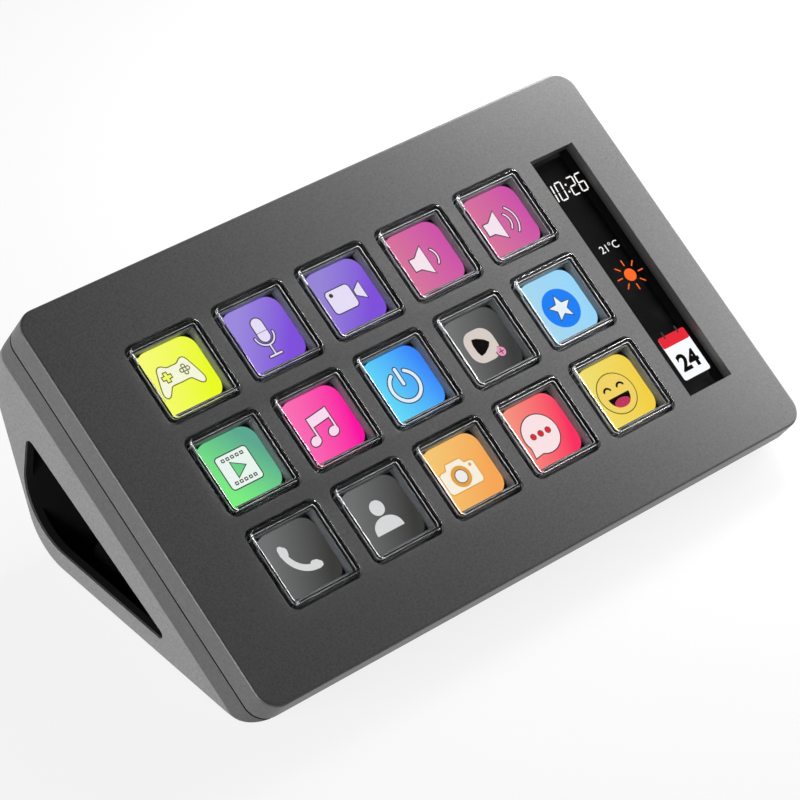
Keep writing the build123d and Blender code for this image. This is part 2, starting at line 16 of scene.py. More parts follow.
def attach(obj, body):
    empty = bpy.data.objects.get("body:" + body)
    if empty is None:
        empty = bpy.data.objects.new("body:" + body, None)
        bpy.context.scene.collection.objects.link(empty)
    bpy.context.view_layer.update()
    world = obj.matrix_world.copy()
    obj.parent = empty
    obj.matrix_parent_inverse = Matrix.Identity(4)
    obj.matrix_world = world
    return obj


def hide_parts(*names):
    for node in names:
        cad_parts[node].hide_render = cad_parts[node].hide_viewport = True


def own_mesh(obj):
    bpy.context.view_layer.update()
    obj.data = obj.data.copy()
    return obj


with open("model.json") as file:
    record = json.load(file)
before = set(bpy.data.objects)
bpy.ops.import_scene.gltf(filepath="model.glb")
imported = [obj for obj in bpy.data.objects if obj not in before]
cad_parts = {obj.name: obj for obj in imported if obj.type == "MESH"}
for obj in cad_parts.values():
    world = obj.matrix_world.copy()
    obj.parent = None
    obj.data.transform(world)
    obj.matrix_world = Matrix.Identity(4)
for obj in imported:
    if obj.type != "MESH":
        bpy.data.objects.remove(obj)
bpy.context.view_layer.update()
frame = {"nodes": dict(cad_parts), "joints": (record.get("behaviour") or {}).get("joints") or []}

MM = 0.001

# ---------------------------------------------------------------- camera, in the slab frame
CAMERA_PLACE = (-371.3, -119.2, 527.9)
CAMERA_RIGHT = (0.74140, -0.54674, 0.38910)
CAMERA_DOWN = (-0.37367, -0.81797, -0.43737)
CAMERA_AHEAD = (0.55740, 0.17887, -0.81075)
LENS = 165.4
SENSOR = 36.0

# ---------------------------------------------------------------- keycaps
CAP_EDGE = 0.09             # the caps' broken edges
CAP_SHARP = radians(40)     # an edge that turns by more is broken
CAP_FLAT = radians(1)       # faces that turn by less are joined
CAP_WELD = 0.001            # points nearer than this are one

# ---------------------------------------------------------------- pictures, in the slab frame
TILE_SIZE = 12.85
TILE_RADIUS = 2.8
PICTURE_LIFT = 0.02         # between the layers of a picture
PANE_HEIGHT = 0.55          # milky pane that carries a key's picture above the display
EDGE_LINE = 0.21            # dark line round the signs
MITRE_LIMIT = 1.6           # of that line at sharp corners, over its width
CLOCK_PLACE = (51.7, 19.7)
TEMPERATURE_PLACE = (52.2, 5.9)
SUN_PLACE = (52.6, -0.6)
CALENDAR_PLACE = (52.5, -18.7)

DIGIT_LEAN = 0.1            # the clock's digits lean to the right by this share of their height
SEGMENT_GAP = 0.75          # a stroke starts this share of its width from its corner
CLOCK_LEFTS = (-4.5, -2.15, 0.95, 3.1)     # of the four digits
CLOCK_COLON = 0.25
TYPE_SCALE = 1.4            # type size over the height of a digit

# ---------------------------------------------------------------- light
WORLD_LEVEL = 0.02          # the room's own light
CEILING_START = 0.15        # the white backdrop fades out between these rises of a direction, of 1
CEILING_FULL = 0.50
PICTURE_LEVEL = 1.08        # emission of the lit pictures
FLOOR_SIZE = 6.0            # in metres
FLOOR_GLOW = 0.85           # share of the floor that the camera sees as plain white
LAMPS = (                   # name, place, target, width, height, power
    ("right_box", (170, 0, 48), (20, 0, 0), 100, 100, 0.30),
    ("rear_box", (160, 110, 45), (20, 10, 0), 80, 80, 0.56),
    ("left_box", (-420, 60, -110), (-60, 0, -10), 250, 150, 1.6),
    ("low_box", (-420, 0, 85), (-60, 0, 0), 200, 50, 1.1),
)

# ---------------------------------------------------------------- grain
NOISE_LOW = 0.3             # most of a noise's values lie between these
NOISE_HIGH = 0.7
CLOUD_SIZE = 9.0            # of the slow change of tone in a moulding
TONE_SPREAD = 0.06          # of that tone, either way
SPECKLE_SIZE = 0.42         # of the light and dark points in the satin plastic
SHEEN_SPREAD = 0.05         # of the roughness, either way
RELIEF_STRENGTH = 0.6
BRUSH_SIZE = 0.15           # brushed metal: width of its lines, their stretch along X, roughness spread
BRUSH_STRETCH = 0.05
BRUSH_SPREAD = 0.08
CLEAR_IOR = 1.49            # acrylic
UNEVEN_SIZE = 2.5           # of the patches in the polish of the clear plastic
SMEAR_SIZE = 6.0
TRACK_SIZE = 2.4

# ---------------------------------------------------------------- painted shade on the lower case
BAND_SHADE_TONE = "#4F4F4F"       # painted shade on the band above the crease
PAINTED_SHADE_TONE = "#141414"     # painted shade in the tunnel and the parting groove
CREASE_DEPTH = 10.6         # below the face
CREASE_SOFT = 0.3
CHEEK_DRAFT = 2.5           # degrees by which the cheeks lean in below the crease
LEG_SLOPE = 67.5            # degrees from the table
PARTING_FOOT = 5.82         # below the face, and just below the groove's foot; the groove's painted shade reaches this far
PARTING_SOFT = 0.02
SHADE_DEPTH = 15.6         # below the face, and just above the deck's underside; the tunnel's painted shade starts here
SHADE_EDGE = 0.4           # of the cheek's own tone left round its opening
SHADE_SKIN = 1.0           # of the leg and the toe that keep their own tone
SHADE_SOFT = 0.1


# ================================================================ frames
outward = -Vector(frame["joints"][0]["axis"]).normalized()
across = Vector((1, 0, 0))
turn = Matrix((across, outward.cross(across), outward)).transposed()


def extent(node, origin):
    """Lowest and highest slab coordinates of a CAD node, in millimetres."""
    back = turn.transposed()
    points = [back @ (v.co - origin) / MM for v in frame["nodes"][node].data.vertices]
    low = Vector([min(p[i] for p in points) for i in range(3)])
    high = Vector([max(p[i] for p in points) for i in range(3)])
    return low, high


cover_low, cover_high = extent("top_cover", Vector())
face_middle = Vector(((cover_low.x + cover_high.x) / 2, (cover_low.y + cover_high.y) / 2, cover_high.z))
face_origin = turn @ face_middle * MM
cover_half = (cover_high.x - cover_low.x) / 2
slab = Matrix.Translation(face_origin) @ turn.to_4x4() @ Matrix.Scale(MM, 4)


def place_of(node):
    """Middle of a node in the slab frame, and its lowest and highest Z."""
    low, high = extent(node, face_origin)
    return (low + high) / 2, low.z, high.z


# ================================================================ materials
def colour(code):
    """Linear colour of an sRGB code such as #3C4048."""
    parts = [int(code[i:i + 2], 16) / 255 for i in (1, 3, 5)]
    linear = [p / 12.92 if p <= 0.04045 else ((p + 0.055) / 1.055) ** 2.4 for p in parts]
    return (*linear, 1.0)


def new_material(name):
    """A material with its nodes, links and shader."""
    material = bpy.data.materials.new(name)
    material.use_nodes = True
    nodes = material.node_tree.nodes
    return material, nodes, material.node_tree.links, nodes["Principled BSDF"]


def grain(nodes, links, size, detail=3.0):
    """Noise of one grain size in millimetres, fixed to the object."""
    place = nodes.new("ShaderNodeTexCoord")
    noise = nodes.new("ShaderNodeTexNoise")
    noise.inputs["Scale"].default_value = 1 / (size * MM)
    noise.inputs["Detail"].default_value = detail
    links.new(place.outputs["Object"], noise.inputs["Vector"])
    return noise


def spread(nodes, links, source, low, high):
    """Maps a noise's middle range to a range of values, as an output."""
    reach = nodes.new("ShaderNodeMapRange")
    reach.inputs["From Min"].default_value = NOISE_LOW
    reach.inputs["From Max"].default_value = NOISE_HIGH
    reach.inputs["To Min"].default_value = low
    reach.inputs["To Max"].default_value = high
    links.new(source.outputs["Fac"], reach.inputs["Value"])
    return reach.outputs["Result"]


def moulded(name, code, roughness, grain_size=0.22, bump=0.02, specular=0.5, speckle=0.0, tint=None):
    """Moulded plastic or rubber: fine spark-eroded grain, slight change of tone and sheen.

    A tint takes nodes, links and the plastic's own tone, and gives another tone and a least roughness;
    the lower case's tint paints shade.
    """
    material, nodes, links, shader = new_material(name)
    base = colour(code)
    cloud = grain(nodes, links, CLOUD_SIZE, 4.0)
    dark, pale = ((*[c * share for c in base[:3]], 1.0) for share in (1 - TONE_SPREAD, 1 + TONE_SPREAD))
    final, dull = blended(nodes, links, cloud.outputs["Fac"], dark, pale), None
    if tint is not None:
        final, dull = tint(nodes, links, final)
    if speckle:
        dots = spread(nodes, links, grain(nodes, links, SPECKLE_SIZE, 1.0), 1 - speckle, 1 + speckle)
        patchy = nodes.new("ShaderNodeVectorMath")
        patchy.operation = "SCALE"
        links.new(final, patchy.inputs[0])
        links.new(dots, patchy.inputs["Scale"])
        final = patchy.outputs["Vector"]
    links.new(final, shader.inputs["Base Color"])
    fine = grain(nodes, links, grain_size)
    sheen = spread(nodes, links, fine, roughness - SHEEN_SPREAD, roughness + SHEEN_SPREAD)
    if dull is not None:
        sheen = joined(nodes, links, "MAXIMUM", sheen, dull)
    links.new(sheen, shader.inputs["Roughness"])
    relief = nodes.new("ShaderNodeBump")
    relief.inputs["Strength"].default_value = RELIEF_STRENGTH
    relief.inputs["Distance"].default_value = bump * MM
    links.new(fine.outputs["Fac"], relief.inputs["Height"])
    links.new(relief.outputs["Normal"], shader.inputs["Normal"])
    shader.inputs["Specular IOR Level"].default_value = specular
    return material


def past(nodes, links, axis, zero, start, soft=SHADE_SOFT):
    """0 before and 1 past a plane that lies start millimetres along an axis from a point."""
    place = nodes.new("ShaderNodeTexCoord")
    along = nodes.new("ShaderNodeVectorMath")
    along.operation = "DOT_PRODUCT"
    along.inputs[1].default_value = axis
    share = nodes.new("ShaderNodeMapRange")
    share.inputs["From Min"].default_value = axis.dot(zero) + start * MM
    share.inputs["From Max"].default_value = axis.dot(zero) + (start + soft) * MM
    links.new(place.outputs["Object"], along.inputs[0])
    links.new(along.outputs["Value"], share.inputs["Value"])
    return share.outputs["Result"]


def joined(nodes, links, operation, first, second):
    """Math of two outputs."""
    node = nodes.new("ShaderNodeMath")
    node.operation = operation
    links.new(first, node.inputs[0])
    links.new(second, node.inputs[1])
    return node.outputs["Value"]


def blended(nodes, links, share, first, second):
    """One colour where share is 0 and another where it is 1."""
    mix = nodes.new("ShaderNodeMix")
    mix.data_type = "RGBA"
    links.new(share, mix.inputs["Factor"])
    for socket, value in (("A", first), ("B", second)):
        if isinstance(value, tuple):
            mix.inputs[socket].default_value = value
        else:
            links.new(value, mix.inputs[socket])
    return mix.outputs["Result"]


def case_painted_shade(nodes, links, cheek_tone):
    """The lower case with painted shade: its band above the crease is painted darker, and its tunnel
    and parting groove are painted dark and made dull.

    The tunnel's painted shade lies past five planes: under the deck, inside both cheeks, the toe and
    the leg.
    """
    # painted shade: the band above the crease is painted darker than the cheek below, which keeps the
    # plastic's tone
    below_crease = past(nodes, links, -outward, face_origin, CREASE_DEPTH, CREASE_SOFT)
    tones = blended(nodes, links, below_crease, colour(BAND_SHADE_TONE), cheek_tone)
    draft = radians(CHEEK_DRAFT)
    points = [v.co for v in frame["nodes"]["lower_case"].data.vertices]
    leg = radians(LEG_SLOPE)
    # painted shade: the tunnel's walls are painted near black and made dull, where light hardly reaches
    tunnel_shade = past(nodes, links, -outward, face_origin, SHADE_DEPTH)
    planes = []
    for side in (-1, 1):
        inwards = turn @ Vector((-side * cos(draft), 0, sin(draft)))
        planes.append((inwards, slab @ Vector((side * cover_half, 0, -CREASE_DEPTH)), SHADE_EDGE))
    for axis in (Vector((0, 0, 1)), Vector((0, -sin(leg), cos(leg)))):
        planes.append((axis, min(points, key=axis.dot), SHADE_SKIN))
    for axis, zero, start in planes:
        tunnel_shade = joined(nodes, links, "MINIMUM", tunnel_shade, past(nodes, links, axis, zero, start))
    # painted shade: the parting groove is painted near black
    groove = past(nodes, links, outward, face_origin, -PARTING_FOOT, PARTING_SOFT)
    dark = joined(nodes, links, "MAXIMUM", tunnel_shade, groove)
    return blended(nodes, links, dark, tones, colour(PAINTED_SHADE_TONE)), dark


def metal(name, code, roughness):
    """Rolled or plated steel with a fine brushed grain along X."""
    material, nodes, links, shader = new_material(name)
    place = nodes.new("ShaderNodeTexCoord")
    stretch = nodes.new("ShaderNodeMapping")
    stretch.inputs["Scale"].default_value = (BRUSH_STRETCH, 1, 1)
    noise = nodes.new("ShaderNodeTexNoise")
    noise.inputs["Scale"].default_value = 1 / (BRUSH_SIZE * MM)
    links.new(place.outputs["Object"], stretch.inputs["Vector"])
    links.new(stretch.outputs["Vector"], noise.inputs["Vector"])
    sheen = spread(nodes, links, noise, roughness - BRUSH_SPREAD, roughness + BRUSH_SPREAD)
    links.new(sheen, shader.inputs["Roughness"])
    shader.inputs["Base Color"].default_value = colour(code)
    shader.inputs["Metallic"].default_value = 1.0
    return material


def clear_plastic(name, code, clarity, roughness):
    """Clear plastic, very slightly uneven as a moulding is."""
    material, nodes, links, shader = new_material(name)
    shader.inputs["Base Color"].default_value = colour(code)
    shader.inputs["Transmission Weight"].default_value = clarity
    shader.inputs["IOR"].default_value = CLEAR_IOR
    uneven = grain(nodes, links, UNEVEN_SIZE, 1.0)
    sheen = spread(nodes, links, uneven, 0.6 * roughness, 1.6 * roughness)
    links.new(sheen, shader.inputs["Roughness"])
    return material


def screen_glass():
    """Black glass of the display where it shows nothing, with faint smears in its gloss."""
    material, nodes, links, shader = new_material("screen_glass")
    shader.inputs["Base Color"].default_value = colour("#171718")
    smear = grain(nodes, links, SMEAR_SIZE)
    links.new(spread(nodes, links, smear, 0.06, 0.14), shader.inputs["Roughness"])
    return material


def laminate():
    """Circuit board: dark green mask over faint copper tracks."""
    material, nodes, links, shader = new_material("laminate")
    place = nodes.new("ShaderNodeTexCoord")
    tracks = nodes.new("ShaderNodeTexBrick")
    tracks.inputs["Scale"].default_value = 1 / (TRACK_SIZE * MM)
    for socket, code in (("Color1", "#0F4A2C"), ("Color2", "#0C3F26"), ("Mortar", "#2B6B45")):
        tracks.inputs[socket].default_value = colour(code)
    links.new(place.outputs["Object"], tracks.inputs["Vector"])
    links.new(tracks.outputs["Color"], shader.inputs["Base Color"])
    shader.inputs["Roughness"].default_value = 0.35
    return material


def lit(name, first, second=None, up_share=0.0):
    """A lit picture colour, even or fading across the picture, and partly up or down it."""
    material, nodes, links, shader = new_material(name)
    shader.inputs["Base Color"].default_value = (0, 0, 0, 1)
    shader.inputs["Roughness"].default_value = 0.4
    shader.inputs["Specular IOR Level"].default_value = 0.0
    shader.inputs["Emission Strength"].default_value = PICTURE_LEVEL
    shader.inputs["Emission Color"].default_value = colour(first)
    if second is None:
        return material
    place = nodes.new("ShaderNodeTexCoord")
    along = nodes.new("ShaderNodeVectorMath")
    along.operation = "DOT_PRODUCT"
    along.inputs[1].default_value = (1, up_share, 0)
    start = nodes.new("ShaderNodeMath")
    start.operation = "ADD"
    start.inputs[1].default_value = -up_share / 2
    links.new(place.outputs["Generated"], along.inputs[0])
    links.new(along.outputs["Value"], start.inputs[0])
    fade = blended(nodes, links, start.outputs["Value"], colour(first), colour(second))
    links.new(fade, shader.inputs["Emission Color"])
    return material


# ================================================================ flat outlines
def moved(points, x=0.0, y=0.0, lean=0.0):
    """The outline turned by an angle in degrees, then shifted."""
    c, s = cos(radians(lean)), sin(radians(lean))
    return [(x + c * px - s * py, y + s * px + c * py) for px, py in points]


def oval(x, y, wide, high, lean=0.0, count=36):
    """Ellipse with half axes wide and high, leaning by an angle in degrees."""
    angles = [2 * pi * i / count for i in range(count)]
    return moved([(wide * cos(angle), high * sin(angle)) for angle in angles], x, y, lean)


def disc(x, y, radius, count=40):
    """Circle, as an outline of count points."""
    return oval(x, y, radius, radius, count=count)


def rounded(x, y, wide, high, radius, lean=0.0, count=8):
    """Rectangle with rounded corners, about its middle."""
    points = []
    for turn_by, sx, sy in ((0, 1, 1), (90, -1, 1), (180, -1, -1), (270, 1, -1)):
        middle = (sx * (wide / 2 - radius), sy * (high / 2 - radius))
        for i in range(count + 1):
            angle = radians(turn_by + 90 * i / count)
            points.append((middle[0] + radius * cos(angle), middle[1] + radius * sin(angle)))
    return moved(points, x, y, lean)


def bar(start, end, width):
    """Straight stroke with round ends."""
    length = hypot(end[0] - start[0], end[1] - start[1])
    middle = ((start[0] + end[0]) / 2, (start[1] + end[1]) / 2)
    points = rounded(0, 0, length + width, width, width / 2 - 1e-4)
    c, s = (end[0] - start[0]) / length, (end[1] - start[1]) / length
    return [(middle[0] + c * x - s * y, middle[1] + s * x + c * y) for x, y in points]


def arc(x, y, radius, width, first, last, count=28):
    """Curved stroke with round ends, between two angles in degrees."""
    points = []
    for edge, a, b in ((radius + width / 2, first, last), (radius - width / 2, last, first)):
        for i in range(count + 1):
            angle = radians(a + (b - a) * i / count)
            points.append((x + edge * cos(angle), y + edge * sin(angle)))
        end = radians(b)
        cap = (x + radius * cos(end), y + radius * sin(end))
        way = 1 if edge > radius else -1
        for i in range(1, 8):
            angle = end + (0 if way > 0 else pi) + pi * i / 8 * (1 if last > first else -1)
            points.append((cap[0] + width / 2 * cos(angle), cap[1] + width / 2 * sin(angle)))
    return points


def smooth(points, steps=6):
    """Closed curve through its points."""
    result = []
    count = len(points)
    for i in range(count):
        p0, p1, p2, p3 = (points[(i + k - 1) % count] for k in range(4))
        for step in range(steps):
            t = step / steps
            result.append(tuple(
                b + 0.5 * t * (c - a + t * (2 * a - 5 * b + 4 * c - d + t * (3 * b - a - 3 * c + d)))
                for a, b, c, d in zip(p0, p1, p2, p3)
            ))
    return result


def grown(points, by):
    """The outline moved outwards by a small distance, with its sharpest corners held back."""
    following = points[1:] + points[:1]
    area = sum(x * next_y - next_x * y for (x, y), (next_x, next_y) in zip(points, following))
    way = 1 if area > 0 else -1
    result = []
    for before, (x, y), after in zip(points[-1:] + points[:-1], points, following):
        nx = ny = 0.0
        for (start_x, start_y), (end_x, end_y) in ((before, (x, y)), ((x, y), after)):
            length = hypot(end_x - start_x, end_y - start_y) or 1.0
            nx += way * (end_y - start_y) / length
            ny -= way * (end_x - start_x) / length
        size = hypot(nx, ny) or 1.0
        reach = by * min(2 / size, MITRE_LIMIT)
        result.append((x + nx / size * reach, y + ny / size * reach))
    return result


# ================================================================ drawings
class Drawing:
    """Flat filled outlines in thin layers, joined into one mesh with a material for each colour."""

    def __init__(self, name, middle, level):
        self.name, self.middle, self.level = name, middle, level
        self.ink = inks["white"]
        self.vertices, self.faces, self.indices, self.materials = [], [], [], []

    def fill(self, material, outlines, layer):
        """Adds outlines filled by the even-odd rule."""
        curve = bpy.data.curves.new(self.name, "CURVE")
        curve.dimensions = "2D"
        curve.fill_mode = "BOTH"
        for points in outlines:
            spline = curve.splines.new("POLY")
            spline.points.add(len(points) - 1)
            for point, (x, y) in zip(spline.points, points):
                point.co = (x, y, 0, 1)
            spline.use_cyclic_u = True
        carrier = bpy.data.objects.new(self.name, curve)
        mesh = bpy.data.meshes.new_from_object(carrier)
        first = len(self.vertices)
        height = self.level + layer * PICTURE_LIFT
        for vertex in mesh.vertices:
            self.vertices.append((self.middle[0] + vertex.co.x, self.middle[1] + vertex.co.y, height))
        if material not in self.materials:
            self.materials.append(material)
        for face in mesh.polygons:
            corners = [first + i for i in face.vertices]
            self.faces.append(corners if face.normal.z > 0 else corners[::-1])
            self.indices.append(self.materials.index(material))
        bpy.data.meshes.remove(mesh)
        bpy.data.objects.remove(carrier)
        bpy.data.curves.remove(curve)

    def rim(self, material, points, foot):
        """Walls from an outline down to a level."""
        first, count = len(self.vertices), len(points)
        for height in (foot, self.level):
            self.vertices.extend((self.middle[0] + x, self.middle[1] + y, height) for x, y in points)
        self.materials.append(material)
        for i in range(count):
            j = (i + 1) % count
            self.faces.append([first + i, first + j, first + count + j, first + count + i])
            self.indices.append(self.materials.index(material))

    def sign(self, outlines, fill=None, line=None, layer=1):
        """A sign's filled outlines with a thin darker line round each."""
        for points in outlines:
            self.fill(line or inks["line"], [grown(points, EDGE_LINE)], layer)
        for points in outlines:
            self.fill(fill or self.ink, [points], layer + 1)

    def finish(self):
        """Makes the piece."""
        mesh = bpy.data.meshes.new(self.name)
        mesh.from_pydata(self.vertices, [], self.faces)
        for material in self.materials:
            mesh.materials.append(material)
        mesh.polygons.foreach_set("material_index", self.indices)
        mesh.transform(slab)
        flat_piece(self.name, mesh)


def flat_piece(name, mesh):
    """A piece that lies on the display, joined to the housing."""
    piece = bpy.data.objects.new(name, mesh)
    bpy.context.scene.collection.objects.link(piece)
    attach(piece, "housing")


inks = {
    "white": lit("ink_white", "#F4F0EE"),
    "grey": lit("ink_grey", "#DCDCDC"),
    "sand": lit("ink_sand", "#DDD2CA"),
    "line": lit("ink_line", "#3E3A3C"),
    "black": lit("ink_black", "#120D0C"),
    "red": lit("ink_red", "#E02B3A"),
    "orange": lit("ink_orange", "#FF6B2C"),
    "paper": lit("ink_paper", "#F1F3F6"),
    "blue": lit("ink_blue", "#2283FA"),
    "rose": lit("ink_rose", "#EE9CBF"),
    "tongue": lit("ink_tongue", "#C23A5C"),
    "amber": lit("ink_amber", "#E3A347"),
    "straw": lit("ink_straw", "#F6D768"),
    "olive": lit("ink_olive", "#6E6B1E"),
}


# ---------------------------------------------------------------- signs, about the middle of their tile
def gamepad(draw):
    half = [(0, 2.15), (1.15, 2.2), (2.15, 2.78), (3.0, 2.55), (3.6, 1.1), (4.25, -0.9), (4.5, -2.1),
            (4.15, -2.8), (3.5, -2.65), (2.7, -1.75), (2.0, -1.15), (0, -1.15)]
    whole = half + [(-x, y) for x, y in half[-2:0:-1]]
    draw.sign([moved(smooth(whole), -0.38, 0.0)], line=inks["olive"])
    arm, stroke = 0.9, 0.28
    quarter = [(arm, stroke), (stroke, stroke), (stroke, arm)]
    cross = [point for i in range(4) for point in moved(quarter, lean=90 * i)]
    cross = moved(cross, -2.48, 0.62)
    draw.fill(inks["olive"], [grown(cross, EDGE_LINE)], 3)
    draw.fill(tiles["gamepad"], [cross], 4)
    for x, y in ((0.66, 0), (-0.66, 0), (0, 0.66), (0, -0.66)):
        draw.fill(inks["olive"], [disc(1.5 + x, 0.65 + y, 0.46)], 3)
        draw.fill(draw.ink, [disc(1.5 + x, 0.65 + y, 0.25)], 4)


def microphone(draw):
    draw.sign([
        arc(-0.1, 0.05, 2.0, 0.3, 180, 360),
        bar((-0.1, -2.1), (-0.1, -3.95), 0.3),
        bar((-1.35, -4.1), (1.15, -4.1), 0.34),
        rounded(-0.1, 1.1, 2.3, 4.8, 1.14),
    ])
    draw.fill(inks["line"], [bar((-1.2, 0.7), (1.0, 0.7), 0.1)], 3)


def video_camera(draw):
    draw.sign([
        rounded(-1.1, -0.2, 5.4, 4.6, 0.8),
        [(2.1, 0.3), (3.9, 1.5), (3.9, -1.9), (2.1, -0.7)],
    ])
    draw.fill(inks["line"], [disc(-2.7, 1.2, 0.42)], 3)


def speaker(draw, left, waves):
    """A loudspeaker from its left edge on, with a sound wave of each radius."""
    cone = moved([(0, 0.8), (1.35, 0.8), (3.6, 2.5), (3.6, -3.3), (1.35, -1.6), (0, -1.6)], left)
    outlines = [arc(left + 3.8, -0.4, radius, 0.3, -45, 45) for radius in waves]
    draw.sign(outlines + [cone])


def film(draw):
    draw.sign([rounded(-0.25, -0.2, 6.8, 6.4, 0.6)])
    for i in range(-2, 3):
        for y in (2.1, -2.5):
            x = -0.25 + i * 1.04
            draw.fill(inks["line"], [rounded(x, y, 0.72, 0.66, 0.1)], 3)
            draw.fill(draw.ink, [rounded(x, y, 0.34, 0.28, 0.08)], 4)
    arrow = [(-1.25, 1.25), (1.15, -0.2), (-1.25, -1.65)]
    draw.fill(inks["line"], [grown(arrow, EDGE_LINE)], 3)
    draw.fill(tiles["film"], [arrow], 4)


def notes(draw):
    beam = [(-2.5, 2.1), (2.15, 2.7), (2.15, 0.85), (-2.5, 0.25)]
    draw.sign([
        oval(-3.2, -2.2, 1.15, 0.85, 20),
        oval(1.1, -1.9, 1.15, 0.85, 20),
        bar((-2.3, 2.0), (-2.3, -2.2), 0.36),
        bar((1.97, 2.55), (1.97, -1.9), 0.36),
        beam,
    ])


def power(draw):
    draw.sign([
        arc(-0.1, -0.4, 3.05, 0.68, 120, 420),
        bar((-0.15, 3.1), (-0.15, 0.05), 0.68),
    ])


def play_badge(draw):
    draw.fill(inks["sand"], [rounded(-0.4, -0.1, 6.6, 6.6, 2.5)], 1)
    draw.fill(inks["black"], [smooth([(-1.7, 1.7), (-1.7, -1.9), (1.5, -0.1)], 3)], 2)
    draw.sign([disc(2.55, -2.7, 0.95)], fill=inks["rose"])
    for start, end in (((2.0, -2.7), (3.1, -2.7)), ((2.55, -3.25), (2.55, -2.15))):
        draw.fill(inks["black"], [bar(start, end, 0.16)], 4)


def star(draw):
    draw.fill(inks["blue"], [disc(0.2, -0.5, 4.0, 56)], 1)
    tip, notch = 2.6, 1.15
    radii = [tip, notch] * 5
    points = [(radius * sin(pi * i / 5), radius * cos(pi * i / 5)) for i, radius in enumerate(radii)]
    draw.sign([moved(points, 0.2, -0.5)], layer=2)


def handset(draw):
    draw.fill(inks["grey"], [arc(2.2, 2.2, 4.7, 1.25, 172, 278)], 1)
    draw.fill(inks["grey"], [rounded(-2.25, 2.1, 1.75, 2.1, 0.8, -12)], 1.1)
    draw.fill(inks["grey"], [rounded(2.1, -2.25, 2.1, 1.75, 0.8, -12)], 1.2)


def person(draw):
    draw.fill(inks["grey"], [disc(-0.35, 1.5, 1.5)], 1)
    angles = [pi * i / 24 for i in range(25)]
    shoulders = [(3.08 * cos(angle), 2.9 * sin(angle) ** 0.8) for angle in angles]
    draw.fill(inks["grey"], [moved(shoulders, -0.35, -3.2)], 1)


def camera_sign(draw):
    body = [(-4.85, -2.4), (-4.85, 1.1), (-4.4, 1.45), (-3.1, 1.5), (-2.6, 2.6), (0.7, 2.6), (1.2, 1.5),
            (2.5, 1.45), (2.95, 1.1), (2.95, -2.4), (2.5, -2.95), (-4.4, -2.95)]
    draw.sign([body], line=inks["amber"])
    draw.fill(inks["amber"], [disc(-0.95, -0.5, 2.1)], 3)
    draw.fill(inks["line"], [disc(-0.95, -0.5, 1.34)], 4)
    draw.fill(inks["white"], [disc(-0.95, -0.5, 1.2)], 5)
    draw.fill(inks["amber"], [disc(2.0, 0.75, 0.33)], 3)


def speech(draw):
    bubble = disc(-0.5, -0.35, 3.85, 60)
    tail = [(-3.9, -1.2), (-4.3, -4.0), (-1.6, -3.6)]
    draw.sign([bubble, tail])
    for x in (-2.28, -0.5, 1.28):
        draw.fill(inks["line"], [disc(x, -0.3, 0.66)], 3)
        draw.fill(inks["red"], [disc(x, -0.3, 0.54)], 4)


def smiley(draw):
    draw.sign([disc(-0.3, -0.3, 4.05, 60)], fill=inks["straw"], line=inks["olive"])
    for side in (-1, 1):
        draw.fill(inks["black"], [arc(-0.3 + 1.6 * side, 0.55, 0.8, 0.42, 20, 160)], 3)
    angles = [pi + pi * i / 28 for i in range(29)]
    mouth = [(2.55 * cos(angle), 2.45 * sin(angle)) for angle in angles]
    draw.fill(inks["black"], [moved(mouth, -0.3, -0.75)], 3)
    draw.fill(inks["tongue"], [oval(-0.3, -2.25, 1.85, 0.95, count=28)], 4)


# the tiles' colours at the left and right, and how much of their fade runs up the tile
tiles = {name: lit("tile_" + name, left, right, up_share=up_share) for name, left, right, up_share in (
    ("gamepad", "#FBFF76", "#EEFF24", -0.5),
    ("microphone", "#9F8CE0", "#8252DE", -0.8),
    ("video", "#9A88DA", "#8252DE", -0.8),
    ("speaker", "#DC7A9C", "#D254AC", 0.1),
    ("film", "#7CF084", "#5FAA92", 0.6),
    ("notes", "#FF72B6", "#FF14A4", -0.3),
    ("power", "#68E0FA", "#3C88FF", 0.2),
    ("play", "#757575", "#3E3E3D", -0.5),
    ("star", "#AEDCF0", "#9CDAFF", 0.0),
    ("call", "#727373", "#3D3D3B", -0.5),
    ("camera", "#FAC874", "#FBAA58", -0.6),
    ("speech", "#FA9482", "#FF3262", -0.4),
    ("smiley", "#F4E272", "#F8D448", -0.4),
)}
# the signs' own tints
tints = {name: lit("sign_" + name, code) for name, code in (
    ("gamepad", "#FAFBDD"), ("microphone", "#EAE2FA"), ("video", "#EAE2FA"), ("speaker", "#FBE9F2"),
    ("film", "#EEF9F1"), ("notes", "#FFDDF1"), ("power", "#E2F2FF"), ("star", "#EAF6FF"),
    ("camera", "#FDF3E0"), ("speech", "#FFE6E8"),
)}
pictures = {
    "r1c1": ("gamepad", gamepad),
    "r1c2": ("microphone", microphone),
    "r1c3": ("video", video_camera),
    "r1c4": ("speaker", lambda draw: speaker(draw, -3.3, (2.15,))),
    "r1c5": ("speaker", lambda draw: speaker(draw, -4.1, (2.2, 3.7))),
    "r2c1": ("film", film),
    "r2c2": ("notes", notes),
    "r2c3": ("power", power),
    "r2c4": ("play", play_badge),
    "r2c5": ("star", star),
    "r3c1": ("call", handset),
    "r3c2": ("call", person),
    "r3c3": ("camera", camera_sign),
    "r3c4": ("speech", speech),
    "r3c5": ("smiley", smiley),
}

tile_outline = rounded(0, 0, TILE_SIZE, TILE_SIZE, TILE_RADIUS)
pane_edge = moulded("pane_edge", "#0C0C0C", 0.6)
_, _, display_top = place_of("display_glass")
for key, (tile_name, sign) in pictures.items():
    middle, _, _ = place_of("keycap_" + key)
    drawing = Drawing("picture_" + key, middle, display_top + PANE_HEIGHT)
    drawing.ink = tints.get(tile_name, inks["white"])
    drawing.fill(tiles[tile_name], [tile_outline], 0)
    drawing.rim(pane_edge, tile_outline, display_top)
    sign(drawing)
    drawing.finish()


